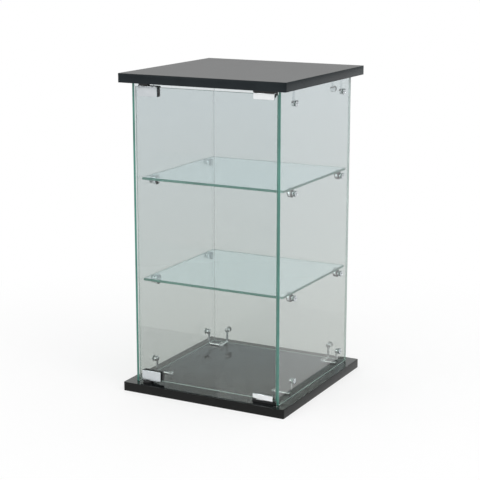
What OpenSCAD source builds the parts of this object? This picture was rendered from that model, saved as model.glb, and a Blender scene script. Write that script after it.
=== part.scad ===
// Counter-top glass display case: two black boards, three bolted glass panels,
// two loose glass shelves on through-glass supports and a pivoting glass door.
// Millimetres. Origin at the middle of the underside, front towards -Y, +Z up.

/* [Case] */
// Overall width of the boards
case_w = 360; // [320:5:480]
// Overall depth of the boards
case_d = 360; // [320:5:480]
// Overall height, underside of the base to top of the lid board
case_h = 640; // [560:10:900]
// How far the boards stand out past the glass on every side
overhang = 20; // [12:1:32]

/* [Boards] */
// Thickness of the base and top boards
board_t = 18; // [16:1:25]
// Thickness of the edge banding
band_t = 1; // [0.5:0.1:2]
// Radius of the boards' upright corners
corner_r = 3; // [2.5:0.5:10]

/* [Glass] */
// Thickness of the side, back and door glass
glass_t = 5; // [4:0.5:8]
// Gap between the back panel and each side panel
panel_gap = 0.5; // [0.3:0.1:1.5]
// Diameter of the holes drilled through the glass
glass_hole_d = 8; // [7.5:0.5:10]

/* [Shelves] */
// Thickness of each glass shelf
shelf_t = 5; // [4:0.5:8]
// Height of the lower shelf's underside above the floor
lower_shelf_z = 223.5; // [190:0.5:250]
// Height of the upper shelf's underside above the floor
upper_shelf_z = 428.5; // [380:0.5:450]
// Gap between a shelf's end and the side glass
shelf_side_gap = 2; // [1:0.5:4]
// Distance from the front of the glass box to a shelf's front edge
shelf_front_setback = 22; // [16:1:50]
// Gap between a shelf's rear edge and the back glass
shelf_back_gap = 7; // [3:0.5:20]

/* [Hole rows] */
// Distance from the front of the glass box to the front row of fittings
front_row_inset = 65; // [50:1:90]
// Distance from the back of the glass box to the rear row in the side glass
back_row_inset = 36; // [30:1:60]
// Distance from each side of the glass box to the fittings in the back glass
back_panel_inset = 40; // [30:1:60]

/* [Corner connectors] */
// Height of a connector's glass hole from the face of its board
connector_rise = 30; // [20:1:45]
// Diameter of the bent rod
rod_d = 5; // [4:0.5:7]
// Reach of a front connector's foot from its post to its screw
front_foot_l = 33; // [25:1:50]
// Diameter of the round head that faces the glass
head_d = 11; // [10:0.5:14]
// Length of the round head
head_l = 6; // [5:0.5:9]
// Diameter of the screw boss on the foot
boss_d = 11; // [10:0.5:14]
// Height of the screw boss
boss_h = 6; // [5:0.5:9]

/* [Bolts and washers] */
// Diameter of the bolts that pass through the glass
bolt_d = 4; // [3:0.5:5]
// Depth of the bolt in its head
bolt_grip = 4.5; // [3:0.5:4.5]
// Diameter of the round bolt caps outside the glass
cap_d = 12; // [11:0.5:16]
// Thickness of the bolt caps
cap_t = 2; // [1.5:0.25:4]
// Diameter of the clear washers
washer_d = 11; // [10:0.5:14]
// Thickness of the clear washers
washer_t = 1; // [0.5:0.1:1.5]

/* [Shelf supports] */
// Diameter of the peg under the shelf
peg_d = 8; // [7:0.5:9]
// Outer diameter of the turned sleeve on which the shelf rests
sleeve_d = 16; // [12:0.5:18]
// Length of the turned sleeve
sleeve_l = 10; // [6:0.5:12]
// How far both rims of the sleeve are turned down
sleeve_edge = 2; // [0.5:0.5:2.5]
// Diameter of the flange that bears on the glass
flange_d = 12; // [10:0.5:12]
// Thickness of the flange
flange_t = 2; // [1:0.25:3]
// Diameter of the peg's tip, past the sleeve
peg_tip_d = 6; // [5:0.5:6.5]
// Length of the peg's tip
peg_tip_l = 3; // [1:0.5:5]

/* [Door] */
// Gap between the door and each side panel
door_side_gap = 2; // [1.5:0.5:4]
// Gap between the door glass and each board
door_end_gap = 7.5; // [7:0.5:14]
// Distance from the door's hinge edge to the pivot axis
pivot_inset = 19; // [16:1:24]

/* [Pivot hinges] */
// Width of a hinge
hinge_w = 43; // [36:1:60]
// Height of a hinge on the glass
hinge_h = 18.5; // [16:0.5:30]
// Distance from the door's hinge edge to the hinge
hinge_inset = 7.5; // [4:0.5:10]
// Thickness of the web under the glass edge
hinge_web_t = 2; // [2:0.25:3]
// Thickness of the front leaf behind the cover
front_leaf_t = 1.5; // [1:0.25:2]
// Thickness of the bright cover plate
cover_t = 2; // [1.5:0.25:3]
// Thickness of the rear leaf
rear_leaf_t = 6; // [5:0.5:8]
// Thickness of each pad between hinge and glass
pad_t = 0.5; // [0.3:0.1:1]
// Diameter of the grub screws in the rear leaf
grub_d = 4; // [3:0.5:6]
// Diameter of the pivot pin
pin_d = 6; // [5:0.5:8]
// Diameter of the bush flange
bush_d = 22; // [18:1:26]
// Diameter of the bush collar in the board
bush_collar_d = 10; // [9.5:0.5:13]
// Depth of the bush collar in the board
bush_depth = 10; // [8:0.5:12]

/* [Strike clips and catches] */
// Width of a strike clip
clip_w = 43; // [32:1:60]
// Distance from the door's opening edge to the clip
clip_inset = 5; // [3:0.5:10]
// Height of the clip's front bar
clip_h = 12.5; // [8:0.5:16]
// Height of the clip's rear lip
clip_lip_h = 8; // [6:0.5:10]
// Thickness of the clip's leaves and web
clip_t = 1.2; // [1:0.1:2]
// Thickness of the clip's front plate, and the radius of its rounded edges
clip_front_t = 1.25; // [0.75:0.25:2.5]
// Thickness of the soft liner inside the clip
liner_t = 1.2; // [0.5:0.1:1.5]
// How far the catch block stands out past each end of the clip
catch_margin = 1; // [0.5:0.5:2.5]
// Height of the catch's stop lip above the catch block
stop_h = 5.5; // [4:0.5:8]
// Thickness of the stop lip
stop_t = 2.5; // [2:0.5:4]
// Width of the catch magnet
magnet_w = 20; // [14:1:24]
// Depth of the catch magnet, front to back
magnet_l = 6; // [4:0.5:7]
// Thickness of the catch magnet
magnet_t = 3; // [2:0.5:4]

/* [Wood screws] */
// Shank diameter of the connectors' wood screws
wood_screw_d = 3.5; // [3:0.5:4.5]
// Head diameter of the connectors' wood screws
wood_screw_head_d = 7; // [6.5:0.5:9]
// Head height of the connectors' wood screws
wood_screw_head_h = 2; // [1.5:0.25:3]
// Depth of every wood screw in its board
wood_screw_depth = 11; // [8:0.5:13]
// Shank diameter of the catches' screws
catch_screw_d = 3; // [2.5:0.5:3.5]
// Head diameter of the catches' countersunk screws
catch_screw_head_d = 5.5; // [5:0.5:6.5]

/* [Clearances] */
// Radial clearance of every shank, pin and sleeve in its hole
fit = 0.05; // [0.02:0.01:0.1]
// Running gap between the door's fittings and the fixed ones
running_gap = 0.3; // [0.3:0.05:0.5]

/* [Hidden] */
$fn = 48;
eps = 0.01;
glass_w = case_w - 2 * overhang;
glass_d = case_d - 2 * overhang;
panel_h = case_h - 2 * board_t;
glass_front_y = -glass_d / 2;
glass_back_y = glass_d / 2;
inner_x = glass_w / 2 - glass_t;
inner_y = glass_back_y - glass_t;

front_row_y = glass_front_y + front_row_inset;
back_row_y = glass_back_y - back_row_inset;
back_row_x = glass_w / 2 - back_panel_inset;

head_seat = inner_x - washer_t;
post_x = head_seat - head_l / 2;
post_y = inner_y - washer_t - head_l / 2;
connector_z = board_t + connector_rise;
front_boss_x = post_x - front_foot_l;
bolt_reach = glass_t + 2 * washer_t + bolt_grip;

shelf_w = 2 * (inner_x - shelf_side_gap);
shelf_front_y = glass_front_y + shelf_front_setback;
shelf_d = inner_y - shelf_back_gap - shelf_front_y;
lower_support_z = lower_shelf_z - sleeve_d / 2;
upper_support_z = upper_shelf_z - sleeve_d / 2;
peg_l = sleeve_l + 2 * fit;

door_w = 2 * (inner_x - door_side_gap);
door_h = panel_h - 2 * door_end_gap;
door_z = board_t + door_end_gap;
door_back_y = glass_front_y + glass_t;
pivot_x = -door_w / 2 + pivot_inset;
pivot_y = glass_front_y + glass_t / 2;

hinge_x = -door_w / 2 + hinge_inset;
hinge_z = door_z - hinge_web_t;
hinge_front_y = glass_front_y - pad_t - front_leaf_t;
hinge_back_y = door_back_y + pad_t + rear_leaf_t;
grub_x = [hinge_x + hinge_w / 4, hinge_x + 3 * hinge_w / 4];
grub_z = door_z + hinge_h / 2;
bush_top_z = hinge_z - running_gap;
bush_floor_t = 1.5;
pin_tip_z = board_t - bush_depth + bush_floor_t + running_gap;

clip_x = door_w / 2 - clip_inset - clip_w;
clip_z = door_z - liner_t - clip_t;
clip_back_y = door_back_y + liner_t + clip_t;
catch_x = clip_x - catch_margin;
catch_w = clip_w + 2 * catch_margin;
catch_top_z = clip_z - running_gap;
catch_front_y = glass_front_y - liner_t - clip_t;
stop_y = clip_back_y + running_gap;
catch_screw_x = [catch_x + catch_screw_head_d, catch_x + catch_w - catch_screw_head_d];
catch_screw_y = pivot_y;

SHELVES = [lower_support_z, upper_support_z];
LEVELS = [0, 1];
SIDES = [-1, 1];

// Places a bottom fitting at the bottom (0) or, turned over, at the top (1).
module at_level(level) {
    translate([0, 0, level * case_h])
        mirror([0, 0, level])
            children();
}

// Places a right-hand fitting on the right (1) or mirrored on the left (-1).
module at_side(side) {
    mirror([side < 0 ? 1 : 0, 0, 0])
        children();
}

// Turns a shape drawn along +Z so that it runs along +X.
module along_x() {
    rotate([0, 90, 0])
        children();
}

// Turns a shape drawn along +Z so that it runs along +Y.
module along_y() {
    rotate([-90, 0, 0])
        children();
}

// A round hole or shank of diameter d along +Z from z0 to z1.
module bar(d, z0, z1) {
    translate([0, 0, z0])
        cylinder(d = d, h = z1 - z0);
}

// ---- Boards ----

// Holes in the base for the screws and the pivot bush, as the base lies.
module board_holes() {
    screw_floor = board_t - wood_screw_depth - eps;
    for (side = SIDES) {
        at_side(side) translate([front_boss_x, front_row_y, 0])
            bar(wood_screw_d + 2 * fit, screw_floor, board_t + eps);
        at_side(side) translate([back_row_x, back_row_y, 0])
            bar(wood_screw_d + 2 * fit, screw_floor, board_t + eps);
    }
    for (x = catch_screw_x)
        translate([x, catch_screw_y, 0])
            bar(catch_screw_d + 2 * fit, screw_floor, board_t + eps);
    translate([pivot_x, pivot_y, 0])
        bar(bush_collar_d + 2 * fit, board_t - bush_depth - eps, board_t + eps);
}

// Plan of the case, drawn in by the given margin, with its corners still concentric.
module plan(margin) {
    half_w = case_w / 2 - margin;
    half_d = case_d / 2 - margin;
    r = corner_r - margin;
    square([2 * (half_w - r), 2 * half_d], center = true);
    square([2 * half_w, 2 * (half_d - r)], center = true);
    for (x = [r - half_w, half_w - r])
        for (y = [r - half_d, half_d - r])
            translate([x, y])
                circle(r = r);
}

module board() {
    color("#2b2f31")
        difference() {
            linear_extrude(height = board_t)
                plan(band_t);
            board_holes();
        }
}

// One strip of banding that runs all the way round the board.
module edge_band() {
    color("#1e2225")
        linear_extrude(height = board_t)
            difference() {
                plan(0);
                plan(band_t);
            }
}

module base_board() {
    at_level(0) board();
}

module top_board() {
    at_level(1) board();
}

module base_edge_band() {
    at_level(0) edge_band();
}

module top_edge_band() {
    at_level(1) edge_band();
}

// ---- Glass ----

// Glass holes of one side panel, as a right-hand panel.
module side_panel_holes() {
    for (y = [front_row_y, back_row_y])
        for (z = [connector_z, lower_support_z, upper_support_z, case_h - connector_z])
            translate([inner_x, y, z])
                along_x()
                    bar(glass_hole_d, -eps, glass_t + eps);
}

module side_panel(side) {
    color("#b9d6cd", 0.4)
        at_side(side)
            difference() {
                translate([inner_x, glass_front_y, board_t])
                    cube([glass_t, glass_d, panel_h]);
                side_panel_holes();
            }
}

module left_panel() {
    side_panel(-1);
}

module right_panel() {
    side_panel(1);
}

module back_panel() {
    half_w = inner_x - panel_gap;
    color("#b9d6cd", 0.4)
        difference() {
            translate([-half_w, inner_y, board_t])
                cube([2 * half_w, glass_t, panel_h]);
            for (side = SIDES)
                for (level = LEVELS)
                    at_level(level)
                        translate([side * back_row_x, inner_y, connector_z])
                            along_y()
                                bar(glass_hole_d, -eps, glass_t + eps);
        }
}

module shelf(z) {
    color("#b4d8cc", 0.4)
        translate([-shelf_w / 2, shelf_front_y, z])
            cube([shelf_w, shelf_d, shelf_t]);
}

module lower_shelf() {
    shelf(lower_shelf_z);
}

module upper_shelf() {
    shelf(upper_shelf_z);
}

// ---- Corner connectors ----

// Upright post with its round head, drawn at the origin with the glass at +X.
module post_and_head() {
    translate([0, 0, board_t + rod_d / 2])
        sphere(d = rod_d);
    bar(rod_d, board_t + rod_d / 2, connector_z);
    translate([-head_l / 2, 0, connector_z])
        along_x()
            bar(head_d, 0, head_l);
}

// Tapped hole for the bolt, drawn as the post is.
module head_bore() {
    translate([0, 0, connector_z])
        along_x()
            bar(bolt_d + 2 * fit, head_l / 2 - bolt_grip - 2 * fit, head_l / 2 + eps);
}

// Foot rod of length l from the origin along -X.
module foot(l) {
    translate([-l, 0, board_t + rod_d / 2])
        along_x()
            bar(rod_d, 0, l);
}

module screw_boss() {
    bar(boss_d, board_t, board_t + boss_h);
}

module screw_bore() {
    bar(wood_screw_d + 2 * fit, board_t - eps, board_t + boss_h + eps);
}

module front_connector(side, level) {
    color("#c9cdcf")
        at_level(level) at_side(side)
            difference() {
                union() {
                    translate([post_x, front_row_y, 0]) {
                        post_and_head();
                        foot(front_foot_l);
                    }
                    translate([front_boss_x, front_row_y, 0])
                        screw_boss();
                }
                translate([post_x, front_row_y, 0])
                    head_bore();
                translate([front_boss_x, front_row_y, 0])
                    screw_bore();
            }
}

module back_connector(side, level) {
    color("#c9cdcf")
        at_level(level) at_side(side)
            difference() {
                union() {
                    translate([post_x, back_row_y, 0]) {
                        post_and_head();
                        foot(post_x - back_row_x);
                    }
                    translate([back_row_x, post_y, 0])
                        rotate([0, 0, 90]) {
                            post_and_head();
                            foot(post_y - back_row_y);
                        }
                    translate([back_row_x, back_row_y, 0])
                        screw_boss();
                }
                translate([post_x, back_row_y, 0])
                    head_bore();
                translate([back_row_x, post_y, 0])
                    rotate([0, 0, 90])
                        head_bore();
                translate([back_row_x, back_row_y, 0])
                    screw_bore();
            }
}

module connector_screws(level) {
    head_z = board_t + boss_h;
    color("#aeb3b5")
        at_level(level)
            for (side = SIDES)
                at_side(side)
                    for (place = [[front_boss_x, front_row_y], [back_row_x, back_row_y]])
                        translate([place[0], place[1], 0]) {
                            bar(wood_screw_d, board_t - wood_screw_depth, head_z);
                            bar(wood_screw_head_d, head_z, head_z + wood_screw_head_h);
                        }
}

// ---- Through-glass bolts and washers ----

// Bolt drawn along +Z with the outer face of the glass at z = 0.
module through_bolt() {
    edge = cap_t / 3;
    bar(bolt_d, washer_t - bolt_reach, washer_t);
    bar(cap_d, washer_t, washer_t + cap_t - edge);
    translate([0, 0, washer_t + cap_t - edge])
        cylinder(d1 = cap_d, d2 = cap_d - 2 * edge, h = edge);
}

// Flanged outer washer with its collar in the glass, and a flat inner washer.
module washer_pair() {
    collar_d = glass_hole_d - 2 * fit;
    difference() {
        union() {
            bar(washer_d, 0, washer_t);
            bar(collar_d, -glass_t, 0);
        }
        bar(bolt_d + 2 * fit, -glass_t - eps, washer_t + eps);
    }
    difference() {
        bar(washer_d, -glass_t - washer_t, -glass_t - fit);
        bar(bolt_d + 2 * fit, -glass_t - washer_t - eps, -glass_t - fit + eps);
    }
}

// Repeats a fitting at given heights of both rows of one side panel.
module on_side_glass(side, heights) {
    at_side(side)
        for (y = [front_row_y, back_row_y])
            for (z = heights)
                translate([glass_w / 2, y, z])
                    along_x()
                        children();
}

// Repeats a fitting at the four holes of the back panel.
module on_back_glass() {
    for (side = SIDES)
        for (z = [connector_z, case_h - connector_z])
            translate([side * back_row_x, glass_back_y, z])
                along_y()
                    children();
}

module side_connector_bolts(side) {
    color("#c9cdcf")
        on_side_glass(side, [connector_z, case_h - connector_z])
            through_bolt();
}

module back_connector_bolts() {
    color("#c9cdcf")
        on_back_glass()
            through_bolt();
}

module side_support_bolts(side) {
    color("#c9cdcf")
        on_side_glass(side, SHELVES)
            through_bolt();
}

module side_panel_washers(side) {
    color("#dfe6e6", 0.6)
        on_side_glass(side, concat([connector_z, case_h - connector_z], SHELVES))
            washer_pair();
}

module back_panel_washers() {
    color("#dfe6e6", 0.6)
        on_back_glass()
            washer_pair();
}

// ---- Shelf supports ----

// Flange, peg and tip, drawn along -X from the inner washer.
module support(side, y, z) {
    peg_end = flange_t + peg_l;
    color("#c9cdcf")
        at_side(side)
            translate([head_seat, y, z])
                rotate([0, -90, 0])
                    difference() {
                        union() {
                            bar(flange_d, 0, flange_t);
                            bar(peg_d, 0, peg_end);
                            bar(peg_tip_d, 0, peg_end + peg_tip_l);
                        }
                        bar(bolt_d + 2 * fit, -eps, bolt_grip + 2 * fit);
                    }
}

// Cylinder with both rims turned down.
module barrel(d, length, edge) {
    cylinder(d1 = d - 2 * edge, d2 = d, h = edge);
    translate([0, 0, edge])
        cylinder(d = d, h = length - 2 * edge);
    translate([0, 0, length - edge])
        cylinder(d1 = d, d2 = d - 2 * edge, h = edge);
}

module support_sleeves(z) {
    color("#c9cdcf")
        for (side = SIDES)
            at_side(side)
                for (y = [front_row_y, back_row_y])
                    translate([head_seat - flange_t, y, z])
                        rotate([0, -90, 0])
                            difference() {
                                translate([0, 0, fit])
                                    barrel(sleeve_d, sleeve_l, sleeve_edge);
                                bar(peg_d + 2 * fit, 0, sleeve_l + 2 * fit);
                            }
}

// ---- Pivots ----

module pivot_bush(level) {
    color("#1b1c1e")
        at_level(level)
            translate([pivot_x, pivot_y, 0])
                difference() {
                    union() {
                        bar(bush_d, board_t, bush_top_z);
                        bar(bush_collar_d, board_t - bush_depth, board_t);
                    }
                    bar(pin_d + 2 * fit, board_t - bush_depth + bush_floor_t, bush_top_z + eps);
                }
}

module pivot_pin(level) {
    color("#c9cdcf")
        at_level(level)
            translate([pivot_x, pivot_y, 0])
                bar(pin_d, pin_tip_z, door_z);
}

// ---- Pivot hinges ----

module hinge_body(level) {
    color("#1b1c1e")
        at_level(level)
            difference() {
                translate([hinge_x, hinge_front_y, hinge_z])
                    cube([hinge_w, hinge_back_y - hinge_front_y, hinge_h + hinge_web_t]);
                translate([hinge_x - eps, glass_front_y - pad_t, door_z])
                    cube([hinge_w + 2 * eps, glass_t + 2 * pad_t, hinge_h + eps]);
                translate([pivot_x, pivot_y, 0])
                    bar(pin_d + 2 * fit, hinge_z - eps, door_z + eps);
                for (x = grub_x)
                    translate([x, door_back_y + pad_t, grub_z])
                        along_y()
                            bar(grub_d + 2 * fit, -eps, rear_leaf_t + eps);
            }
}

module hinge_cover(level) {
    color("#d4d8da")
        at_level(level)
            translate([hinge_x, hinge_front_y - cover_t, hinge_z])
                cube([hinge_w, cover_t, hinge_h + hinge_web_t]);
}

module hinge_pads(level) {
    color("#151617")
        at_level(level)
            for (y = [glass_front_y - pad_t, door_back_y])
                translate([hinge_x, y, door_z])
                    cube([hinge_w, pad_t, hinge_h]);
}

module hinge_grub_screws() {
    socket_d = grub_d / 2;
    color("#8f9496")
        for (level = LEVELS)
            at_level(level)
                for (x = grub_x)
                    translate([x, door_back_y + pad_t, grub_z])
                        along_y()
                            difference() {
                                bar(grub_d, 0, rear_leaf_t);
                                translate([0, 0, rear_leaf_t / 2])
                                    cylinder(d = socket_d, h = rear_leaf_t / 2 + eps, $fn = 6);
                            }
}

// ---- Strike clips ----

// Section of the channel: x runs back from the glass front, y up from the glass edge.
module clip_section() {
    front_x = -liner_t - clip_t;
    web_y = -liner_t - clip_t;
    back_x = glass_t + liner_t + clip_t;
    face_x = front_x - clip_front_t;
    r = clip_front_t;
    difference() {
        union() {
            translate([front_x, web_y])
                square([back_x - front_x, clip_lip_h]);
            translate([front_x, web_y])
                square([clip_t, clip_h]);
            translate([face_x, web_y + r])
                square([r, clip_h - 2 * r]);
            intersection() {
                for (y = [web_y + r, web_y + clip_h - r])
                    translate([front_x, y])
                        circle(r = r);
                translate([face_x, web_y])
                    square([r, clip_h]);
            }
        }
        translate([-liner_t, -liner_t])
            square([glass_t + 2 * liner_t, clip_h]);
    }
}

// Section of the soft liner between the glass and the channel.
module liner_section() {
    difference() {
        translate([-liner_t, -liner_t])
            square([glass_t + 2 * liner_t, clip_lip_h - clip_t]);
        square([glass_t, clip_h]);
    }
}

// Sweeps a section across the width of the clip.
module across_clip() {
    translate([clip_x, glass_front_y, door_z])
        rotate([90, 0, 90])
            linear_extrude(height = clip_w)
                children();
}

module strike_clip(level) {
    color("#d4d8da")
        at_level(level)
            across_clip()
                clip_section();
}

module strike_clip_liners() {
    color("#151617")
        for (level = LEVELS)
            at_level(level)
                across_clip()
                    liner_section();
}

// ---- Magnetic catches ----

// Magnet, or the pocket for it, standing on the pocket's floor.
module magnet_shape(clearance, height) {
    w = magnet_w + 2 * clearance;
    l = magnet_l + 2 * clearance;
    translate([clip_x + clip_w / 2 - w / 2, catch_screw_y - l / 2, catch_top_z - magnet_t])
        cube([w, l, height]);
}

// Countersunk screw: the head's cone ends flush with the top of the block.
module catch_screw(clearance, floor_z) {
    d = catch_screw_d + 2 * clearance;
    head_d = catch_screw_head_d + 2 * clearance;
    cone_h = (catch_screw_head_d - catch_screw_d) / 2;
    bar(d, floor_z, catch_top_z - cone_h);
    translate([0, 0, catch_top_z - cone_h])
        cylinder(d1 = d, d2 = head_d, h = cone_h);
}

module catch_block(level) {
    color("#1b1c1e")
        at_level(level)
            difference() {
                union() {
                    translate([catch_x, catch_front_y, board_t])
                        cube([catch_w, stop_y + stop_t - catch_front_y, catch_top_z - board_t]);
                    translate([catch_x, stop_y, board_t])
                        cube([catch_w, stop_t, catch_top_z + stop_h - board_t]);
                }
                magnet_shape(fit, magnet_t + eps);
                for (x = catch_screw_x)
                    translate([x, catch_screw_y, 0]) {
                        catch_screw(fit, board_t - eps);
                        bar(catch_screw_head_d + 2 * fit, catch_top_z, catch_top_z + eps);
                    }
            }
}

module catch_magnets() {
    color("#9aa0a3")
        for (level = LEVELS)
            at_level(level)
                magnet_shape(0, magnet_t);
}

module catch_screws(level) {
    color("#aeb3b5")
        at_level(level)
            for (x = catch_screw_x)
                translate([x, catch_screw_y, 0])
                    catch_screw(0, board_t - wood_screw_depth);
}

// ---- Door ----

module door_panel() {
    color("#b9d6cd", 0.4)
        translate([-door_w / 2, glass_front_y, door_z])
            cube([door_w, glass_t, door_h]);
}

base_board();
base_edge_band();
top_board();
top_edge_band();
left_panel();
right_panel();
back_panel();
lower_shelf();
upper_shelf();
front_connector(-1, 0);  // front_left_bottom_connector
front_connector(1, 0);  // front_right_bottom_connector
back_connector(-1, 0);  // back_left_bottom_connector
back_connector(1, 0);  // back_right_bottom_connector
front_connector(-1, 1);  // front_left_top_connector
front_connector(1, 1);  // front_right_top_connector
back_connector(-1, 1);  // back_left_top_connector
back_connector(1, 1);  // back_right_top_connector
side_connector_bolts(-1);  // left_connector_bolts
side_connector_bolts(1);  // right_connector_bolts
back_connector_bolts();
side_panel_washers(-1);  // left_panel_washers
side_panel_washers(1);  // right_panel_washers
back_panel_washers();
connector_screws(0);  // bottom_connector_screws
connector_screws(1);  // top_connector_screws
support(-1, front_row_y, lower_support_z);  // lower_front_left_support
support(1, front_row_y, lower_support_z);  // lower_front_right_support
support(-1, back_row_y, lower_support_z);  // lower_back_left_support
support(1, back_row_y, lower_support_z);  // lower_back_right_support
support(-1, front_row_y, upper_support_z);  // upper_front_left_support
support(1, front_row_y, upper_support_z);  // upper_front_right_support
support(-1, back_row_y, upper_support_z);  // upper_back_left_support
support(1, back_row_y, upper_support_z);  // upper_back_right_support
support_sleeves(lower_support_z);  // lower_support_sleeves
support_sleeves(upper_support_z);  // upper_support_sleeves
side_support_bolts(-1);  // left_support_bolts
side_support_bolts(1);  // right_support_bolts
pivot_bush(0);  // bottom_pivot_bush
pivot_bush(1);  // top_pivot_bush
catch_block(0);  // bottom_catch
catch_block(1);  // top_catch
catch_magnets();
catch_screws(0);  // bottom_catch_screws
catch_screws(1);  // top_catch_screws
door_panel();
hinge_body(0);  // bottom_hinge_body
hinge_body(1);  // top_hinge_body
hinge_cover(0);  // bottom_hinge_cover
hinge_cover(1);  // top_hinge_cover
hinge_pads(0);  // bottom_hinge_pads
hinge_pads(1);  // top_hinge_pads
hinge_grub_screws();
pivot_pin(0);  // bottom_pivot_pin
pivot_pin(1);  // top_pivot_pin
strike_clip(0);  // bottom_strike_clip
strike_clip(1);  // top_strike_clip
strike_clip_liners();
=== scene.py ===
import math

import bmesh
import bpy
from mathutils import Matrix, Vector


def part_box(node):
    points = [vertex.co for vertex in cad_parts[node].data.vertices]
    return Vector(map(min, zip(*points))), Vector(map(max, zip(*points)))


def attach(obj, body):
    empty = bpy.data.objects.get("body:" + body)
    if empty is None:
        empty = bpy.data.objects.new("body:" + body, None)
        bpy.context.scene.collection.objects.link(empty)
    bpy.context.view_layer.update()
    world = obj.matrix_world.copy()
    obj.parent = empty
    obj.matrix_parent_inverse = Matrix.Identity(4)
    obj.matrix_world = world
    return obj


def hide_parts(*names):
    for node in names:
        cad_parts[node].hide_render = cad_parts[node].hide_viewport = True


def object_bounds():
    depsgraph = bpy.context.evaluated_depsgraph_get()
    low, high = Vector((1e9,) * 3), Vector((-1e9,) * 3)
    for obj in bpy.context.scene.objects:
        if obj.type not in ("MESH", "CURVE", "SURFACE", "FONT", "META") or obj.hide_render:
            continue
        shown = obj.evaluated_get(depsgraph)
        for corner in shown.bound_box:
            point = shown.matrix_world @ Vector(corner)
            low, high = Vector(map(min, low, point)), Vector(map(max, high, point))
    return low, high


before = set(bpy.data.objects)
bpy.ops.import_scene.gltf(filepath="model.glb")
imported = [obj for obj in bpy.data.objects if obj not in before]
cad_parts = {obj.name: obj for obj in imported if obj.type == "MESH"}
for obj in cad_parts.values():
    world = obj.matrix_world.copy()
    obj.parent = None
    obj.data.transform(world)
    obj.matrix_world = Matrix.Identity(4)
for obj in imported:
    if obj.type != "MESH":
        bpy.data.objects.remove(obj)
cadBox = [list(corner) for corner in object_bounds()]

mm = 0.001
xAxis = Vector((1, 0, 0))
yAxis = Vector((0, 1, 0))
zAxis = Vector((0, 0, 1))
caseTop = cadBox[1][2]
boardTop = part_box("base_board")[1].z  # upper face of the base
levels = {"bottom": 0, "top": 1}
sides = {"left": -1, "right": 1}
rows = ("front", "back")
shelves = ("lower", "upper")
mergeGap = 0.001 * mm  # points nearer than this are one point
planeGap = 0.01 * mm  # points this near a plane lie in it
sharpAngle = math.radians(50)  # edges that turn more than this are sharp
flatAngle = math.radians(1)  # edges that turn less than this lie in a flat face
aligned = 0.99  # cosine from which two directions count as the same
turnedSteps = 32  # facets of a turned piece


# materials

def newMaterial(name, look):
    material = bpy.data.materials.new(name)
    material.use_nodes = True
    shader = material.node_tree.nodes["Principled BSDF"]
    for socket, value in look.items():
        shader.inputs[socket].default_value = value
    return material, material.node_tree, shader


def addNode(tree, kind, settings=None, inputs=None):
    node = tree.nodes.new(kind)
    for key, value in (settings or {}).items():
        setattr(node, key, value)
    for key, value in (inputs or {}).items():
        node.inputs[key].default_value = value
    return node


def placed(tree, scale=(1, 1, 1)):
    coords = addNode(tree, "ShaderNodeTexCoord")
    mapping = addNode(tree, "ShaderNodeMapping", inputs={"Scale": scale})
    tree.links.new(coords.outputs["Object"], mapping.inputs["Vector"])
    return mapping.outputs["Vector"]


def noise(tree, vector, size, detail, rough=0.5):
    settings = {"Scale": 1 / size, "Detail": detail, "Roughness": rough}
    node = addNode(tree, "ShaderNodeTexNoise", inputs=settings)
    tree.links.new(vector, node.inputs["Vector"])
    return node.outputs["Fac"]


def ramp(tree, factor, stops):
    node = addNode(tree, "ShaderNodeValToRGB")
    while len(node.color_ramp.elements) < len(stops):
        node.color_ramp.elements.new(0.5)
    for element, (position, colour) in zip(node.color_ramp.elements, stops):
        element.position = position
        element.color = (*colour, 1)
    tree.links.new(factor, node.inputs["Fac"])
    return node.outputs["Color"]


def remap(tree, value, fromRange, toRange):
    node = addNode(tree, "ShaderNodeMapRange", inputs={
        "From Min": fromRange[0], "From Max": fromRange[1], "To Min": toRange[0], "To Max": toRange[1]})
    tree.links.new(value, node.inputs["Value"])
    return node.outputs["Result"]


def mixShaders(tree, factor, first, second):
    mix = addNode(tree, "ShaderNodeMixShader")
    tree.links.new(factor, mix.inputs["Fac"])
    tree.links.new(first, mix.inputs[1])
    tree.links.new(second, mix.inputs[2])
    return mix.outputs["Shader"]


def colourBy(tree, shader, factor, colours, span=(0.3, 0.7)):
    # span is the part of the noise that runs from the first colour to the second
    tree.links.new(ramp(tree, factor, list(zip(span, colours))), shader.inputs["Base Color"])


def roughenBy(tree, shader, factor, roughness, span=(0.3, 0.7)):
    tree.links.new(remap(tree, factor, span, roughness), shader.inputs["Roughness"])


def addBump(tree, shader, height, depth, strength):
    bump = addNode(tree, "ShaderNodeBump", inputs={"Strength": strength, "Distance": depth})
    tree.links.new(height, bump.inputs["Height"])
    tree.links.new(bump.outputs["Normal"], shader.inputs["Normal"])


def boardLaminate(name, colours):
    material, tree, shader = newMaterial(name, {"IOR": 1.46})
    spot = placed(tree)
    colourBy(tree, shader, noise(tree, spot, 45 * mm, 3), colours)
    rub = noise(tree, spot, 30 * mm, 2)
    roughenBy(tree, shader, rub, (0.07, 0.12), (0.35, 0.75))
    addBump(tree, shader, noise(tree, spot, 5 * mm, 1), 0.01 * mm, 0.1)  # fine orange peel
    return material


def edgeBanding(name, colours):
    material, tree, shader = newMaterial(name, {"IOR": 1.28})
    spot = placed(tree)
    drawn = placed(tree, (1, 1, 26))  # long marks that run round the board
    colourBy(tree, shader, noise(tree, spot, 50 * mm, 4), colours)
    streak = noise(tree, drawn, 30 * mm, 3)
    roughenBy(tree, shader, streak, (0.26, 0.36))
    addBump(tree, shader, streak, 0.05 * mm, 0.3)
    return material


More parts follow.
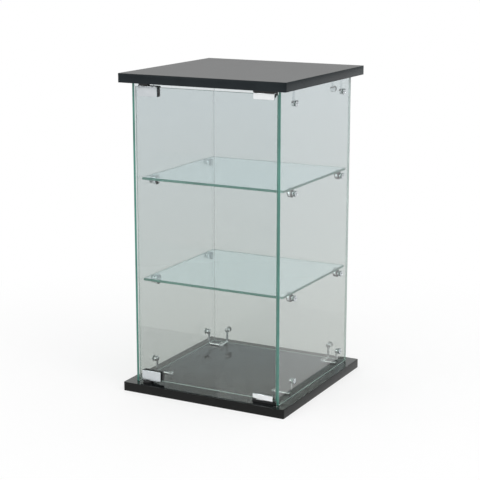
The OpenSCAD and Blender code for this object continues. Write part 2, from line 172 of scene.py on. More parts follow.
def paneGlass(name, foot, head, smudgeSize):
    # the colour goes from foot to head up the case, darker and greener at the foot as painted shade and
    # lighter and bluer at the head as painted light, with faint smudges in it
    material, tree, shader = newMaterial(name, {"IOR": 1.5, "Transmission Weight": 1.0, "Roughness": 0.0})
    spot = placed(tree)
    height = addNode(tree, "ShaderNodeSeparateXYZ")
    tree.links.new(spot, height.inputs["Vector"])
    span = (0.1, 0.9)
    climb = remap(tree, height.outputs["Z"], (boardTop, caseTop), span)
    blend = addNode(tree, "ShaderNodeMath", {"operation": "MULTIPLY_ADD"}, {1: 0.12})  # a little smudge
    tree.links.new(noise(tree, spot, smudgeSize, 3), blend.inputs[0])
    tree.links.new(climb, blend.inputs[2])
    tintAndShade = ramp(tree, blend.outputs["Value"], [(span[0], foot), (span[1], head)])
    tree.links.new(tintAndShade, shader.inputs["Base Color"])
    clear = addNode(tree, "ShaderNodeBsdfTransparent")  # lamps shine through the pane
    tree.links.new(tintAndShade, clear.inputs["Color"])
    rays = addNode(tree, "ShaderNodeLightPath")
    surface = mixShaders(tree, rays.outputs["Is Shadow Ray"], shader.outputs["BSDF"], clear.outputs["BSDF"])
    tree.links.new(surface, tree.nodes["Material Output"].inputs["Surface"])
    return material


def groundEdge(name, colours):
    material, tree, shader = newMaterial(name, {"IOR": 1.5, "Coat Weight": 0.4, "Coat Roughness": 0.08})
    spot = placed(tree)
    colourBy(tree, shader, noise(tree, spot, 60 * mm, 3), colours, (0.3, 0.72))
    grind = noise(tree, spot, 1.5 * mm, 3)
    roughenBy(tree, shader, grind, (0.12, 0.3))
    addBump(tree, shader, grind, 0.04 * mm, 0.3)
    return material


def plating(name, colours, roughness, grainSize):
    material, tree, shader = newMaterial(name, {"Metallic": 1.0, "IOR": 2.0})
    spot = placed(tree)
    colourBy(tree, shader, noise(tree, spot, 20 * mm, 4), colours)
    grain = noise(tree, spot, grainSize, 5, 0.6)
    roughenBy(tree, shader, grain, roughness, (0.3, 0.75))
    addBump(tree, shader, grain, 0.02 * mm, 0.2)
    return material


def mouldedBlack(name, colours, roughness, grainSize, bumpDepth):
    material, tree, shader = newMaterial(name, {"IOR": 1.45})
    spot = placed(tree)
    colourBy(tree, shader, noise(tree, spot, 8 * mm, 4), colours)
    grain = noise(tree, spot, grainSize, 3)
    roughenBy(tree, shader, grain, roughness)
    addBump(tree, shader, grain, bumpDepth, 0.5)
    return material


def softVinyl(name, colours):
    # only partly clear, because rays that stay inside a clear washer turn it black
    material, tree, shader = newMaterial(name, {"IOR": 1.45, "Transmission Weight": 0.4})
    cloud = noise(tree, placed(tree), 4 * mm, 3)
    colourBy(tree, shader, cloud, colours)
    roughenBy(tree, shader, cloud, (0.03, 0.10))
    return material


laminate = boardLaminate("board laminate", ((0.0070, 0.0082, 0.0086), (0.0100, 0.0114, 0.0120)))
# the base and top bands are one banding: the base band is darker as painted shade near the floor, the top
# band lighter and bluer as painted light and reflection
shadedBaseBanding = edgeBanding("base banding, painted shade", ((0.0042, 0.0046, 0.0044), (0.0068, 0.0074, 0.0070)))
litTopBanding = edgeBanding("top banding, painted light", ((0.0065, 0.0105, 0.0130), (0.0105, 0.0160, 0.0190)))

# each glass is darker at the foot and lighter at the head as painted shade and light
caseGlass = paneGlass("case glass", (0.690, 0.715, 0.690), (0.720, 0.760, 0.770), 350 * mm)
shelfGlass = paneGlass("shelf glass", (0.88, 0.95, 0.935), (0.90, 0.965, 0.95), 250 * mm)
caseEdge = groundEdge("ground glass edge", ((0.034, 0.145, 0.115), (0.064, 0.230, 0.185)))
# a lighter copy of the ground glass edge, painted light on the shelf front edges that sit in shade behind
# the door
litShelfEdge = groundEdge("shelf glass edge, painted light", ((0.110, 0.320, 0.260), (0.200, 0.460, 0.380)))
arris = groundEdge("ground arris", ((0.17, 0.33, 0.28), (0.26, 0.45, 0.39)))
# pale green for glass edges that face away from the front, painted backlight
backlitEdge = groundEdge("glass edge, painted backlight", ((0.56, 0.72, 0.66), (0.69, 0.83, 0.78)))

chrome = plating("bright chrome", ((0.78, 0.80, 0.81), (0.87, 0.89, 0.90)), (0.06, 0.14), 4 * mm)
# a rougher copy of the chrome whose colour is darkened as painted shade, for the hinge covers and bolt caps
satinShadedChrome = plating("satin chrome, painted shade", ((0.53, 0.565, 0.585), (0.60, 0.63, 0.65)), (0.10, 0.20), 4 * mm)
# near-black steel for the sleeve rims, painted shade
sleeveShadeSteel = plating("sleeve rims, painted shade", ((0.020, 0.024, 0.023), (0.034, 0.040, 0.038)), (0.14, 0.22), 4 * mm)
zinc = plating("zinc plate", ((0.45, 0.46, 0.46), (0.60, 0.61, 0.60)), (0.22, 0.40), 2 * mm)
steel = plating("turned steel", ((0.36, 0.37, 0.38), (0.48, 0.49, 0.50)), (0.18, 0.32), 2 * mm)
nickel = plating("magnet nickel", ((0.38, 0.38, 0.38), (0.52, 0.52, 0.51)), (0.18, 0.30), 3 * mm)

blackZinc = mouldedBlack("black zinc", ((0.010, 0.010, 0.011), (0.018, 0.018, 0.020)),
                         (0.30, 0.45), 0.8 * mm, 0.04 * mm)
blackPlastic = mouldedBlack("black plastic", ((0.012, 0.012, 0.013), (0.022, 0.022, 0.023)),
                            (0.42, 0.60), 0.6 * mm, 0.06 * mm)
blackRubber = mouldedBlack("black rubber", ((0.009, 0.009, 0.010), (0.016, 0.016, 0.016)),
                           (0.65, 0.85), 0.5 * mm, 0.08 * mm)
vinyl = softVinyl("clear vinyl", ((0.80, 0.85, 0.85), (0.90, 0.93, 0.93)))
print("materials:", len(bpy.data.materials))


# mesh tools

def newVerts(bm, known):
    return [vert for vert in bm.verts if vert not in known]


def only(geometry, kind):
    return [item for item in geometry if isinstance(item, kind)]


def addPiece(name, bm, body, materials, nodes, smoothAngle=38):
    bmesh.ops.remove_doubles(bm, verts=bm.verts, dist=mergeGap)
    bmesh.ops.recalc_face_normals(bm, faces=bm.faces)
    mesh = bpy.data.meshes.new(name)
    bm.to_mesh(mesh)
    bm.free()
    for material in materials:
        mesh.materials.append(material)
    for face in mesh.polygons:
        face.use_smooth = True
    mesh.set_sharp_from_angle(angle=math.radians(smoothAngle))
    piece = bpy.data.objects.new(name, mesh)
    bpy.context.scene.collection.objects.link(piece)
    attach(piece, body)
    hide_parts(*nodes)


def dressNode(names, material):
    for name in names:
        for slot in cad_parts[name].material_slots:
            slot.link = "OBJECT"
            slot.material = material


def roundEdges(bm, edges, width, segments, clamp=False):
    bmesh.ops.bevel(bm, geom=edges, offset=width, offset_type="OFFSET", affect="EDGES",
                    segments=segments, profile=0.5, material=-1, clamp_overlap=clamp)


def roundSharp(bm, width, segments):
    sharp = []
    for edge in bm.edges:
        if len(edge.link_faces) == 2 and edge.calc_face_angle(0) > sharpAngle:
            sharp.append(edge)
    roundEdges(bm, sharp, width, segments, True)


def runsAlong(edge, axis):
    start, end = edge.verts
    return abs((end.co - start.co).normalized().dot(axis)) > aligned


def loopOf(bm, points, height=0.0):
    verts = [bm.verts.new((x, y, height)) for x, y in points]
    return [bm.edges.new((verts[i - 1], verts[i])) for i in range(len(verts))]


def circlePoints(x, y, radius, steps):
    turn = 2 * math.pi / steps
    return [(x + radius * math.cos(i * turn), y + radius * math.sin(i * turn)) for i in range(steps)]


def raiseFaces(bm, faces, height):
    grown = bmesh.ops.extrude_face_region(bm, geom=faces)
    bmesh.ops.translate(bm, verts=only(grown["geom"], bmesh.types.BMVert), vec=zAxis * height)


def addPlate(bm, outline, holes, thickness):
    edges = loopOf(bm, outline)
    for hole in holes:
        edges += loopOf(bm, hole)
    filled = bmesh.ops.triangle_fill(bm, use_beauty=True, edges=edges)
    raiseFaces(bm, only(filled["geom"], bmesh.types.BMFace), thickness)


def spinProfile(bm, profile, steps):
    # turns points, given as radius and height, into a round shape on the z axis
    known = set(bm.verts)
    verts = [bm.verts.new((radius, 0, along)) for radius, along in profile]
    edges = [bm.edges.new(pair) for pair in zip(verts, verts[1:])]
    bmesh.ops.spin(bm, geom=verts + edges, cent=(0, 0, 0), axis=zAxis, angle=2 * math.pi,
                   steps=steps, use_merge=True)
    bmesh.ops.remove_doubles(bm, verts=newVerts(bm, known), dist=mergeGap)


def layAlong(bm, verts, centre, direction):
    turn = zAxis.rotation_difference(direction).to_matrix().to_4x4()
    bmesh.ops.transform(bm, matrix=Matrix.Translation(centre) @ turn, verts=verts)


def addLathe(bm, profile, centre, direction):
    known = set(bm.verts)
    spinProfile(bm, profile, turnedSteps)
    layAlong(bm, newVerts(bm, known), centre, direction)


def toSide(bm, side, level):
    # a right-hand bottom piece goes to its own side and level
    if side < 0:
        bmesh.ops.transform(bm, matrix=Matrix.Diagonal((-1, 1, 1, 1)), verts=bm.verts)
    if level:
        flip = Matrix.Translation((0, 0, caseTop)) @ Matrix.Diagonal((1, 1, -1, 1))
        bmesh.ops.transform(bm, matrix=flip, verts=bm.verts)


def middleOf(name):
    low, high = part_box(name)
    return (low + high) / 2


# boards

band = {"thickness": 1 * mm, "cornerRadius": 3 * mm, "cornerSteps": 8, "edgeRound": 0.5 * mm,
        "edgeSteps": 3, "outerShare": 0.9}


def addBand(name, banding):
    b = band
    low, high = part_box(name)
    halfX, halfY = high.x, high.y
    bm = bmesh.new()
    edges = loopOf(bm, [(-halfX, -halfY), (halfX, -halfY), (halfX, halfY), (-halfX, halfY)])
    bmesh.ops.contextual_create(bm, geom=edges)
    bmesh.ops.bevel(bm, geom=bm.verts[:], offset=b["cornerRadius"], offset_type="OFFSET",
                    affect="VERTICES", segments=b["cornerSteps"], profile=0.5, material=-1)
    ring = bmesh.ops.inset_region(bm, faces=bm.faces[:], thickness=b["thickness"], use_boundary=True,
                                  use_even_offset=True)
    middle = [face for face in bm.faces if face not in ring["faces"]]
    bmesh.ops.delete(bm, geom=middle, context="FACES")
    raiseFaces(bm, bm.faces[:], high.z - low.z)
    bmesh.ops.translate(bm, verts=bm.verts, vec=zAxis * low.z)
    bmesh.ops.recalc_face_normals(bm, faces=bm.faces)
    reach = b["outerShare"] * b["thickness"]  # takes in the outer corner arcs, but not the inner wall
    rims = []
    for edge in bm.edges:
        outside = any(max(abs(v.co.x) - halfX, abs(v.co.y) - halfY) > -reach for v in edge.verts)
        if outside and edge.calc_face_angle(0) > sharpAngle:
            rims.append(edge)
    roundEdges(bm, rims, b["edgeRound"], b["edgeSteps"])
    addPiece(name + "_strip", bm, "case", [banding], [name], 30)


addBand("base_edge_band", shadedBaseBanding)
addBand("top_edge_band", litTopBanding)
dressNode(["base_board", "top_board"], laminate)
print("boards: two bands")


# glass

glass = {"arris": 0.3 * mm, "seam": 0.02 * mm, "holeRadius": 4 * mm, "holeSteps": 24,
         "edgeLean": 0.1, "facing": 0.5}
sidePlane = Matrix(((0, 0, 1, 0), (1, 0, 0, 0), (0, 1, 0, 0), (0, 0, 0, 1)))
frontPlane = Matrix(((1, 0, 0, 0), (0, 0, -1, 0), (0, 1, 0, 0), (0, 0, 0, 1)))
shelfPlane = Matrix.Identity(4)
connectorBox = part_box("front_right_bottom_connector")
headRadius = (connectorBox[1].y - connectorBox[0].y) / 2  # the heads and the boss of every connector


def colourEdges(bm, plane, materials, edges):
    # edges pairs an edge colour with the direction it faces, and an edge that faces none of them stays
    # clear; the pale colour on edges that face away from the front is painted backlight
    across = plane.to_3x3() @ zAxis
    for face in bm.faces:
        lean = abs(face.normal.dot(across))
        onSheet = lean > aligned
        onEdge = lean < glass["edgeLean"]  # an edge or the wall of a hole; between the two is the arris
        facing = [edgeLook for edgeLook, direction in edges if face.normal.dot(direction) > glass["facing"]]
        if onSheet or not facing:
            continue
        keepsLook = onEdge or facing[0] is backlitEdge
        face.material_index = materials.index(facing[0] if keepsLook else arris)


def addPane(name, body, sheet, plane, holes, edges):
    low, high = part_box(name)
    back = plane.inverted()
    a, b = back @ low, back @ high
    seam = Vector((glass["seam"], glass["seam"], 0))  # keeps the edges just clear of the boards
    lowLocal = Vector((min(a.x, b.x), min(a.y, b.y), min(a.z, b.z))) + seam
    highLocal = Vector((max(a.x, b.x), max(a.y, b.y), max(a.z, b.z))) - seam
    outline = [(lowLocal.x, lowLocal.y), (highLocal.x, lowLocal.y),
               (highLocal.x, highLocal.y), (lowLocal.x, highLocal.y)]
    rings = []
    for centre in holes:
        spot = back @ centre
        rings.append(circlePoints(spot.x, spot.y, glass["holeRadius"], glass["holeSteps"]))
    bm = bmesh.new()
    addPlate(bm, outline, rings, highLocal.z - lowLocal.z)
    bmesh.ops.translate(bm, verts=bm.verts, vec=zAxis * lowLocal.z)
    bmesh.ops.recalc_face_normals(bm, faces=bm.faces)
    roundSharp(bm, glass["arris"], 1)
    bmesh.ops.transform(bm, matrix=plane, verts=bm.verts)
    materials = [sheet, arris]
    for edgeLook, direction in edges:
        if edgeLook not in materials:
            materials.append(edgeLook)
    colourEdges(bm, plane, materials, edges)
    addPiece(name + "_sheet", bm, body, materials, [name], 20)


def headCentre(row, side, level):
    # middle of a connector's round head, on the face that meets the side glass
    low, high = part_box(f"{row}_{side}_{level}_connector")
    x = high.x if side == "right" else low.x
    y = (low.y + high.y) / 2 if row == "front" else low.y + headRadius
    z = high.z - headRadius if level == "bottom" else low.z + headRadius
    return Vector((x, y, z))


def sideHoles(side):
    spots = [headCentre(row, side, level) for row in rows for level in levels]
    for shelf in shelves:
        spots += [middleOf(f"{shelf}_{row}_{side}_support") for row in rows]
    return spots


def backHoles():
    spots = []
    for side in sides:
        for level in levels:
            low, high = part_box(f"back_{side}_{level}_connector")
            x = low.x + headRadius if side == "right" else high.x - headRadius
            spots.append(Vector((x, high.y, headCentre("back", side, level).z)))
    return spots


# edges that face away from the front get the pale colour as painted backlight, the deep green is the
# glass's own edge colour
sideEdges = [(caseEdge, -yAxis), (backlitEdge, yAxis), (backlitEdge, -zAxis)]
backEdges = [(backlitEdge, xAxis), (backlitEdge, -zAxis)]
doorEdges = [(caseEdge, xAxis), (caseEdge, zAxis), (backlitEdge, -xAxis), (backlitEdge, -zAxis)]
shelfEdges = [(litShelfEdge, -yAxis), (caseEdge, xAxis), (backlitEdge, yAxis), (backlitEdge, -xAxis)]
for side in sides:
    addPane(f"{side}_panel", "case", caseGlass, sidePlane, sideHoles(side), sideEdges)
addPane("back_panel", "case", caseGlass, frontPlane, backHoles(), backEdges)
addPane("door_panel", "door", caseGlass, frontPlane, [], doorEdges)
for shelf in shelves:
    addPane(f"{shelf}_shelf", "case", shelfGlass, shelfPlane, [], shelfEdges)
print("glass: six sheets")


# corner connectors

connector = {"rodRadius": 2.5 * mm, "rodSteps": 20, "bend": 4 * mm, "bendSteps": 8,
             "headLength": 6 * mm, "headChamfer": 0.7 * mm, "bossHeight": 6 * mm, "bossChamfer": 0.6 * mm,
             "boreRadius": 2.05 * mm, "boreDepth": 4.6 * mm}


def pushEdges(bm, edges, vector):
    grown = bmesh.ops.extrude_edge_only(bm, edges=edges)
    moved = only(grown["geom"], bmesh.types.BMVert)
    bmesh.ops.translate(bm, verts=moved, vec=vector)
    return moved, only(grown["geom"], bmesh.types.BMEdge)


def addBentRod(bm, start, alongFoot, footLength, postHeight):
    # a foot that lies along alongFoot, an elbow and an upright post
    c = connector
    known = set(bm.verts)
    turn = zAxis.rotation_difference(alongFoot).to_matrix().to_4x4()
    bmesh.ops.create_circle(bm, cap_ends=True, radius=c["rodRadius"], segments=c["rodSteps"],
                            matrix=Matrix.Translation(start) @ turn)
    ring = set(newVerts(bm, known))
    edges = [edge for edge in bm.edges if edge.verts[0] in ring]
    straight = alongFoot * (footLength - c["bend"])
    moved, edges = pushEdges(bm, edges, straight)
    pivot = start + straight + zAxis * c["bend"]
    elbow = bmesh.ops.spin(bm, geom=moved + edges, cent=pivot, axis=zAxis.cross(alongFoot),
                           angle=-math.pi / 2, steps=c["bendSteps"])
    edges = only(elbow["geom_last"], bmesh.types.BMEdge)
    moved, edges = pushEdges(bm, edges, zAxis * (postHeight - c["bend"]))
    bmesh.ops.triangle_fill(bm, use_beauty=True, edges=edges)


def addPost(bm, glassPoint, toGlass, footEnd):
    c = connector
    headMiddle = glassPoint - toGlass * c["headLength"] / 2
    foot = Vector((footEnd.x, footEnd.y, boardTop + c["rodRadius"]))
    reach = (headMiddle - foot).dot(toGlass)
    addBentRod(bm, foot, toGlass, reach, headMiddle.z - foot.z)
    # the head, from its domed back to the bore in the face that meets the glass
    r, end, k = headRadius, -c["headLength"], c["headChamfer"]
    profile = [(0, end), (r - 2 * k, end), (r - 0.4 * k, end + k), (r, end + 2 * k),
               (r, -0.3 * k), (r - 0.3 * k, 0),
               (c["boreRadius"], 0), (c["boreRadius"], -c["boreDepth"]), (0, -c["boreDepth"])]
    addLathe(bm, profile, glassPoint, toGlass)


def addBoss(bm, centre):
    r, h, k = headRadius, connector["bossHeight"], connector["bossChamfer"]
    profile = [(0, 0), (r, 0), (r, h - 2 * k), (r - 0.4 * k, h - k), (r - 1.4 * k, h), (0, h)]
    addLathe(bm, profile, Vector((centre.x, centre.y, boardTop)), zAxis)


def addConnector(row, side, level):
    # drawn as the right-hand bottom one
    centre = headCentre(row, "right", "bottom")
    low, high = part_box(f"{row}_right_bottom_connector")
    boss = Vector((low.x + headRadius, centre.y, 0))
    bm = bmesh.new()
    if row == "back":
        addPost(bm, Vector((boss.x, high.y, centre.z)), yAxis, boss)
    addPost(bm, centre, xAxis, boss)
    addBoss(bm, boss)
    toSide(bm, sides[side], levels[level])
    name = f"{row}_{side}_{level}_connector"
    addPiece(name + "_chrome", bm, "case", [chrome], [name])


for row in rows:
    for side in sides:
        for level in levels:
            addConnector(row, side, level)
print("connectors: eight")


# screws, bolts and washers

# a crown runs from the flat top of a head out to its full radius, in shares of the radius and height
woodScrew = {"headRadius": 3.5 * mm, "headHeight": 2 * mm, "crown": ((0.72, 1), (0.9, 0.8), (1, 0.45)),
             "shankRadius": 1.75 * mm, "depth": 11 * mm, "pointLength": 2 * mm, "steps": 24,
             "crossReach": 1.9 * mm, "crossWidth": 0.75 * mm, "crossDepth": 1.3 * mm}
# this crown has shares of the radius and drops below the top
throughBolt = {"capRadius": 6 * mm, "capHeight": 2 * mm, "footEase": 0.2 * mm,
               "crown": ((0.84, 0.1 * mm), (0.95, 0.45 * mm), (1, 1 * mm)),
               "shankRadius": 2 * mm, "length": 10.5 * mm, "dishRadius": 3.6 * mm, "dishSlope": 0.4 * mm,
               "dishDepth": 0.5 * mm, "socket": 2.5 * mm, "socketDepth": 1.6 * mm}
washer = {"radius": 5.5 * mm, "thickness": 1 * mm, "collarRadius": 3.95 * mm, "boreRadius": 2.05 * mm,
          "edgeEase": 0.25 * mm, "gap": 0.05 * mm}
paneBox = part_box("right_panel")
paneThickness = paneBox[1].x - paneBox[0].x


def crossOutline(reach, width):
    a, b = reach, width / 2
    return [(a, -b), (a, b), (b, b), (b, a), (-b, a), (-b, b),
            (-a, b), (-a, -b), (-b, -b), (-b, -a), (b, -a), (b, -b)]


def hexOutline(acrossFlats):
    return circlePoints(0, 0, acrossFlats / math.sqrt(3), 6)


def addHead(bm, profile, recess, depth, centre, direction, steps=turnedSteps):
    # a turned head: the profile starts at the rim of its flat top, which holds the driver recess
    known = set(bm.verts)
    spinProfile(bm, profile, steps)
    made = set(newVerts(bm, known))
    rim = [edge for edge in bm.edges if edge.is_boundary and edge.verts[0] in made]
    well = loopOf(bm, recess, profile[0][1])
    bmesh.ops.triangle_fill(bm, use_beauty=True, edges=rim + well)
    sunk = bmesh.ops.extrude_edge_only(bm, edges=well)
    floorEdges = only(sunk["geom"], bmesh.types.BMEdge)
    bmesh.ops.translate(bm, verts=only(sunk["geom"], bmesh.types.BMVert), vec=-zAxis * depth)
    bmesh.ops.triangle_fill(bm, use_beauty=True, edges=floorEdges)
    layAlong(bm, newVerts(bm, known), centre, direction)


def addConnectorScrews(level):
    s = woodScrew
    seat = boardTop + connector["bossHeight"]
    tip = -connector["bossHeight"] - s["depth"]
    profile = [(share * s["headRadius"], rise * s["headHeight"]) for share, rise in s["crown"]]
    profile += [(s["headRadius"], 0), (s["shankRadius"], 0),
                (s["shankRadius"], tip + s["pointLength"]), (0, tip)]
    recess = crossOutline(s["crossReach"], s["crossWidth"])
    bm = bmesh.new()
    for row in rows:
        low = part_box(f"{row}_right_bottom_connector")[0]
        for sign in sides.values():
            spot = Vector((sign * (low.x + headRadius), low.y + headRadius, seat))
            addHead(bm, profile, recess, s["crossDepth"], spot, zAxis, s["steps"])
    toSide(bm, 1, levels[level])
    name = f"{level}_connector_screws"
    addPiece(name + "_set", bm, "case", [zinc], [name])


def boltProfile():
    b = throughBolt
    radius, dish, foot = b["capRadius"], b["dishRadius"], washer["thickness"]
    top = foot + b["capHeight"]
    profile = [(dish - b["dishSlope"], top - b["dishDepth"]), (dish, top)]
    profile += [(share * radius, top - drop) for share, drop in b["crown"]]
    profile += [(radius, foot + b["footEase"]), (radius - b["footEase"], foot),
                (b["shankRadius"], foot), (b["shankRadius"], -b["length"]), (0, -b["length"])]
    return profile


def addBolts(name, spots, direction):
    recess = hexOutline(throughBolt["socket"])
    bm = bmesh.new()
    for spot in spots:
        addHead(bm, boltProfile(), recess, throughBolt["socketDepth"], spot, direction)
    addPiece(name + "_set", bm, "case", [satinShadedChrome], [name])


def addWashers(name, spots, direction):
    # an outer washer with a collar through the glass, and an inner one
    w = washer
    r, bore, collar, ease = w["radius"], w["boreRadius"], w["collarRadius"], w["edgeEase"]
    top, inside = w["thickness"], -paneThickness
    innerTop = inside - w["gap"]
    innerFoot = inside - w["thickness"]
    outer = [(bore, top), (r - ease, top), (r, top - ease), (r, 0),
             (collar, 0), (collar, inside), (bore, inside), (bore, top)]
    inner = [(bore, innerTop), (r, innerTop), (r, innerFoot + ease), (r - ease, innerFoot),
             (bore, innerFoot), (bore, innerTop)]
    bm = bmesh.new()
    for spot in spots:
        addLathe(bm, outer, spot, direction)
        addLathe(bm, inner, spot, direction)
    addPiece(name + "_set", bm, "case", [vinyl], [name])


def onGlass(spots, axis, place):
    # the same spots on the outer face of a pane
    moved = [spot.copy() for spot in spots]
    for spot in moved:
        spot[axis] = place
    return moved


for level in levels:
    addConnectorScrews(level)
for side, sign in sides.items():
    spots = onGlass(sideHoles(side), 0, sign * paneBox[1].x)
    addBolts(f"{side}_connector_bolts", spots[:4], xAxis * sign)
    addBolts(f"{side}_support_bolts", spots[4:], xAxis * sign)
    addWashers(f"{side}_panel_washers", spots, xAxis * sign)
rearSpots = onGlass(backHoles(), 1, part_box("back_panel")[1].y)
addBolts("back_connector_bolts", rearSpots, yAxis)
addWashers("back_panel_washers", rearSpots, yAxis)
print("fasteners: bolts, washers and screws")


# shelf supports

support = {"flangeRadius": 6 * mm, "flangeThickness": 2 * mm, "pegRadius": 4 * mm, "edge": 0.35 * mm,
           "tipRadius": 3 * mm, "tipLength": 3 * mm, "tipRound": 1 * mm, "boreRadius": 2.05 * mm,
           "boreDepth": 4.6 * mm}
sleeve = {"radius": 8 * mm, "length": 10 * mm, "bore": 4.05 * mm, "round": 2.4 * mm, "steps": 6,
          "gap": 0.05 * mm, "barrelLean": 0.02}


def glassSeat(name, sign):
    # middle of the end of a support that meets the glass
    low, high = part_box(name)
    seat = (low + high) / 2
    seat.x = high.x if sign > 0 else low.x
    return seat


def addSupport(shelf, row, side):
    s = support
    name = f"{shelf}_{row}_{side}_support"
    low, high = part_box(name)
    length = high.x - low.x
    shoulder = length - s["tipLength"]
    r, t, e, peg = s["flangeRadius"], s["flangeThickness"], s["edge"], s["pegRadius"]
    tip, bend = s["tipRadius"], s["tipRound"]
    profile = [(0, s["boreDepth"]), (s["boreRadius"], s["boreDepth"]), (s["boreRadius"], 0),
               (r - e, 0), (r, e), (r, t - e), (r - e, t),
               (peg, t), (peg, shoulder - e), (peg - e, shoulder), (tip, shoulder),
               (tip, length - bend), (tip - 0.3 * bend, length - 0.3 * bend), (tip - bend, length),
               (0, length)]
    bm = bmesh.new()
    addLathe(bm, profile, glassSeat(name, sides[side]), -xAxis * sides[side])
    addPiece(name + "_peg", bm, "case", [chrome], [name])


def addSleeves(shelf):
    s = sleeve
    r, length, bore, bend = s["radius"], s["length"], s["bore"], s["round"]
    rim = []
    for i in range(s["steps"] + 1):
        turn = math.pi / 2 * i / s["steps"]
        rim.append((r - bend + bend * math.sin(turn), bend - bend * math.cos(turn)))
    farRim = [(x, length - y) for x, y in reversed(rim)]
    profile = [(bore, 0)] + rim + farRim + [(bore, length), (bore, 0)]
    bm = bmesh.new()
    for row in rows:
        for side, sign in sides.items():
            seat = glassSeat(f"{shelf}_{row}_{side}_support", sign)
            seat.x -= sign * (support["flangeThickness"] + s["gap"])
            addLathe(bm, profile, seat, -xAxis * sign)
    # the near-black rims are painted shade and the chrome barrel a painted highlight, standing in for the
    # reflections on one sleeve
    for face in bm.faces:
        onBarrel = abs(face.normal.x) < s["barrelLean"]
        face.material_index = 1 if onBarrel else 0  # bright barrel between dark rims
    name = f"{shelf}_support_sleeves"
    addPiece(name + "_set", bm, "case", [sleeveShadeSteel, chrome], [name])


for shelf in shelves:
    for row in rows:
        for side in sides:
            addSupport(shelf, row, side)
    addSleeves(shelf)
print("supports: eight, with sleeves")


# pivot hinges, strike clips and catches

hinge = {"coverRound": 0.7 * mm, "coverSteps": 4, "coverCorner": 1.6 * mm, "cornerSteps": 5,
         "bodyRound": 0.35 * mm, "bushRound": 0.5 * mm, "clipRound": 0.25 * mm, "catchRound": 0.3 * mm,
         "easeSteps": 2}


def addCover(level):
    name = f"{level}_hinge_cover"
    low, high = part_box(name)
    place = Matrix.Translation((low + high) / 2) @ Matrix.Diagonal((*(high - low), 1))
    bm = bmesh.new()
    bmesh.ops.create_cube(bm, size=1, matrix=place)
    corners = [edge for edge in bm.edges if runsAlong(edge, yAxis)]
    roundEdges(bm, corners, hinge["coverCorner"], hinge["cornerSteps"])
    rim = [edge for edge in bm.edges if all(vert.co.y < low.y + planeGap for vert in edge.verts)]
    roundEdges(bm, rim, hinge["coverRound"], hinge["coverSteps"])
    addPiece(name + "_plate", bm, "door", [satinShadedChrome], [name])


def addSoftened(name, body, material, softness, corner=0.0):
    # the solid itself, with its sharp edges eased and its corners rounded as seen from the front
    low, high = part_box(name)
    bm = bmesh.new()
    bm.from_mesh(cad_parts[name].data)
    bmesh.ops.remove_doubles(bm, verts=bm.verts, dist=mergeGap)
    bmesh.ops.dissolve_limit(bm, angle_limit=flatAngle, verts=bm.verts, edges=bm.edges)
    if corner > 0:
        corners = []
        for edge in bm.edges:
            atEnd = all(min(vert.co.x - low.x, high.x - vert.co.x) < planeGap for vert in edge.verts)
            if atEnd and runsAlong(edge, yAxis) and edge.calc_face_angle(0) > sharpAngle:
                corners.append(edge)
        roundEdges(bm, corners, corner, hinge["cornerSteps"])
    roundSharp(bm, softness, hinge["easeSteps"])
    addPiece(name + "_soft", bm, body, [material], [name])


for level in levels:
    addCover(level)
    addSoftened(f"{level}_hinge_body", "door", blackZinc, hinge["bodyRound"],
                hinge["coverCorner"])
    addSoftened(f"{level}_strike_clip", "door", chrome, hinge["clipRound"])
    addSoftened(f"{level}_catch", "case", blackPlastic, hinge["catchRound"])
    addSoftened(f"{level}_pivot_bush", "case", blackPlastic, hinge["bushRound"])
dressNode(["bottom_hinge_pads", "top_hinge_pads", "strike_clip_liners"], blackRubber)
dressNode(["hinge_grub_screws", "bottom_pivot_pin", "top_pivot_pin"], steel)
dressNode(["catch_magnets"], nickel)
dressNode(["bottom_catch_screws", "top_catch_screws"], zinc)
print("door fittings: hinges, clips, catches and bushes")


# floor, light and camera

studio = {"floorRadius": 12.0, "floorNear": 0.2, "floorFar": 1.0, "floorVeil": 0.64,
          "floorColour": (0.93, 0.93, 0.93), "skyStrength": 0.86, "keyPower": 30.0, "keySize": 1.6,
          "keyPlace": (2.4, -0.6, 2.6), "fillPower": 12.0, "fillSize": 0.8,
          "fillPlace": (-1.45, -2.5, 1.55)}
# sky by the sine of the height above the horizon, as polished surfaces and glass see it
wallTones = [(0.09, (0.38, 0.38, 0.38)), (0.26, (0.96, 1.0, 1.0)), (0.305, (0.96, 1.0, 1.0)),
             (0.335, (0.76, 0.78, 0.74)), (0.45, (0.60, 0.62, 0.60)), (0.7, (0.40, 0.41, 0.42))]
paneTones = [(0.09, (1, 1, 1)), (0.26, (1.02, 1.15, 1.22)), (0.312, (1.02, 1.15, 1.22)),
             (0.320, (0.76, 0.78, 0.74)), (0.45, (0.60, 0.62, 0.60)), (0.7, (0.55, 0.57, 0.58))]
skyViews = [("Is Glossy Ray", wallTones), ("Is Transmission Ray", paneTones), ("Is Camera Ray", None)]


def addWorld():
    world = bpy.data.worlds.new("studio")
    bpy.context.scene.world = world
    world.use_nodes = True
    tree = world.node_tree
    room = tree.nodes["Background"]
    room.inputs["Color"].default_value = (1, 1, 1, 1)
    room.inputs["Strength"].default_value = studio["skyStrength"]
    look = addNode(tree, "ShaderNodeTexCoord")
    height = addNode(tree, "ShaderNodeSeparateXYZ")
    tree.links.new(look.outputs["Generated"], height.inputs["Vector"])
    rays = addNode(tree, "ShaderNodeLightPath")
    sky = room.outputs["Background"]
    for ray, tones in skyViews:
        wall = addNode(tree, "ShaderNodeBackground", inputs={"Color": (1, 1, 1, 1), "Strength": 1.0})
        if tones:
            tree.links.new(ramp(tree, height.outputs["Z"], tones), wall.inputs["Color"])
        sky = mixShaders(tree, rays.outputs[ray], sky, wall.outputs["Background"])
    tree.links.new(sky, tree.nodes["World Output"].inputs["Surface"])


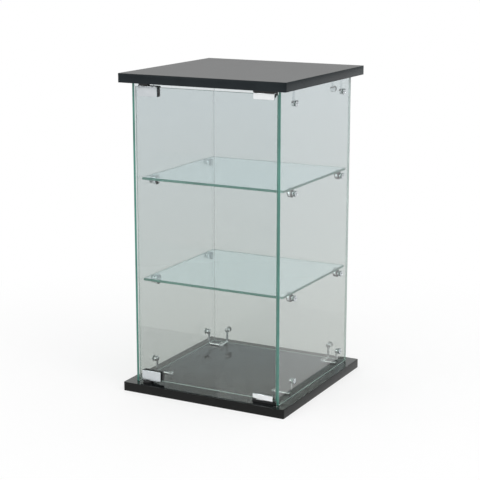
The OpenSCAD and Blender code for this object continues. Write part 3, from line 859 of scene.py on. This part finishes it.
def seenRays(tree):
    rays = addNode(tree, "ShaderNodeLightPath")
    seen = rays.outputs["Is Camera Ray"]
    for ray in ("Is Glossy Ray", "Is Transmission Ray"):
        either = addNode(tree, "ShaderNodeMath", {"operation": "MAXIMUM"})
        tree.links.new(seen, either.inputs[0])
        tree.links.new(rays.outputs[ray], either.inputs[1])
        seen = either.outputs["Value"]
    return seen


def paleFloor():
    # keeps the shadow near the case and goes over into plain white away from it
    s = studio
    material, tree, shader = newMaterial("pale floor", {"Roughness": 0.9, "Specular IOR Level": 0.1})
    shader.inputs["Base Color"].default_value = (*s["floorColour"], 1)
    distance = addNode(tree, "ShaderNodeVectorMath", {"operation": "LENGTH"})
    tree.links.new(placed(tree), distance.inputs[0])
    far = remap(tree, distance.outputs["Value"], (s["floorNear"], s["floorFar"]), (s["floorVeil"], 1))
    share = addNode(tree, "ShaderNodeMath", {"operation": "MULTIPLY"})
    tree.links.new(far, share.inputs[0])
    tree.links.new(seenRays(tree), share.inputs[1])
    white = addNode(tree, "ShaderNodeEmission", inputs={"Color": (1, 1, 1, 1), "Strength": 1.0})
    surface = mixShaders(tree, share.outputs["Value"], shader.outputs["BSDF"], white.outputs["Emission"])
    tree.links.new(surface, tree.nodes["Material Output"].inputs["Surface"])
    return material


def addFloor():
    bm = bmesh.new()
    bmesh.ops.create_circle(bm, cap_ends=True, radius=studio["floorRadius"], segments=64)
    mesh = bpy.data.meshes.new("floor")
    bm.to_mesh(mesh)
    bm.free()
    mesh.materials.append(paleFloor())
    floor = bpy.data.objects.new("floor", mesh)
    bpy.context.scene.collection.objects.link(floor)


def addLamp(name, place, power, size):
    lamp = bpy.data.lights.new(name, "AREA")
    lamp.energy = power
    lamp.size = size
    holder = bpy.data.objects.new(name, lamp)
    holder.location = place
    aim = Vector((0, 0, caseTop / 2)) - Vector(place)
    holder.rotation_euler = aim.to_track_quat("-Z", "Y").to_euler()
    bpy.context.scene.collection.objects.link(holder)


cameraSetup = {"azimuth": 27.93, "elevation": 12.88, "distance": 2.754, "focalPixels": 1355.6,
               "framePixels": 480, "sensorWidth": 36, "target": (-0.0092, 0.0, 0.2935)}


def addCamera():
    c = cameraSetup
    camera = bpy.data.cameras.new("camera")
    camera.sensor_width = c["sensorWidth"]
    camera.lens = c["sensorWidth"] * c["focalPixels"] / c["framePixels"]
    holder = bpy.data.objects.new("camera", camera)
    turn, rise = math.radians(c["azimuth"]), math.radians(c["elevation"])
    back = Vector((math.sin(turn) * math.cos(rise), -math.cos(turn) * math.cos(rise), math.sin(rise)))
    holder.location = Vector(c["target"]) + back * c["distance"]
    holder.rotation_euler = (-back).to_track_quat("-Z", "Y").to_euler()
    bpy.context.scene.collection.objects.link(holder)
    bpy.context.scene.camera = holder


addWorld()
addFloor()
addLamp("key", studio["keyPlace"], studio["keyPower"], studio["keySize"])
addLamp("fill", studio["fillPlace"], studio["fillPower"], studio["fillSize"])
addCamera()
bpy.context.scene.view_settings.view_transform = "Standard"
print("studio ready")
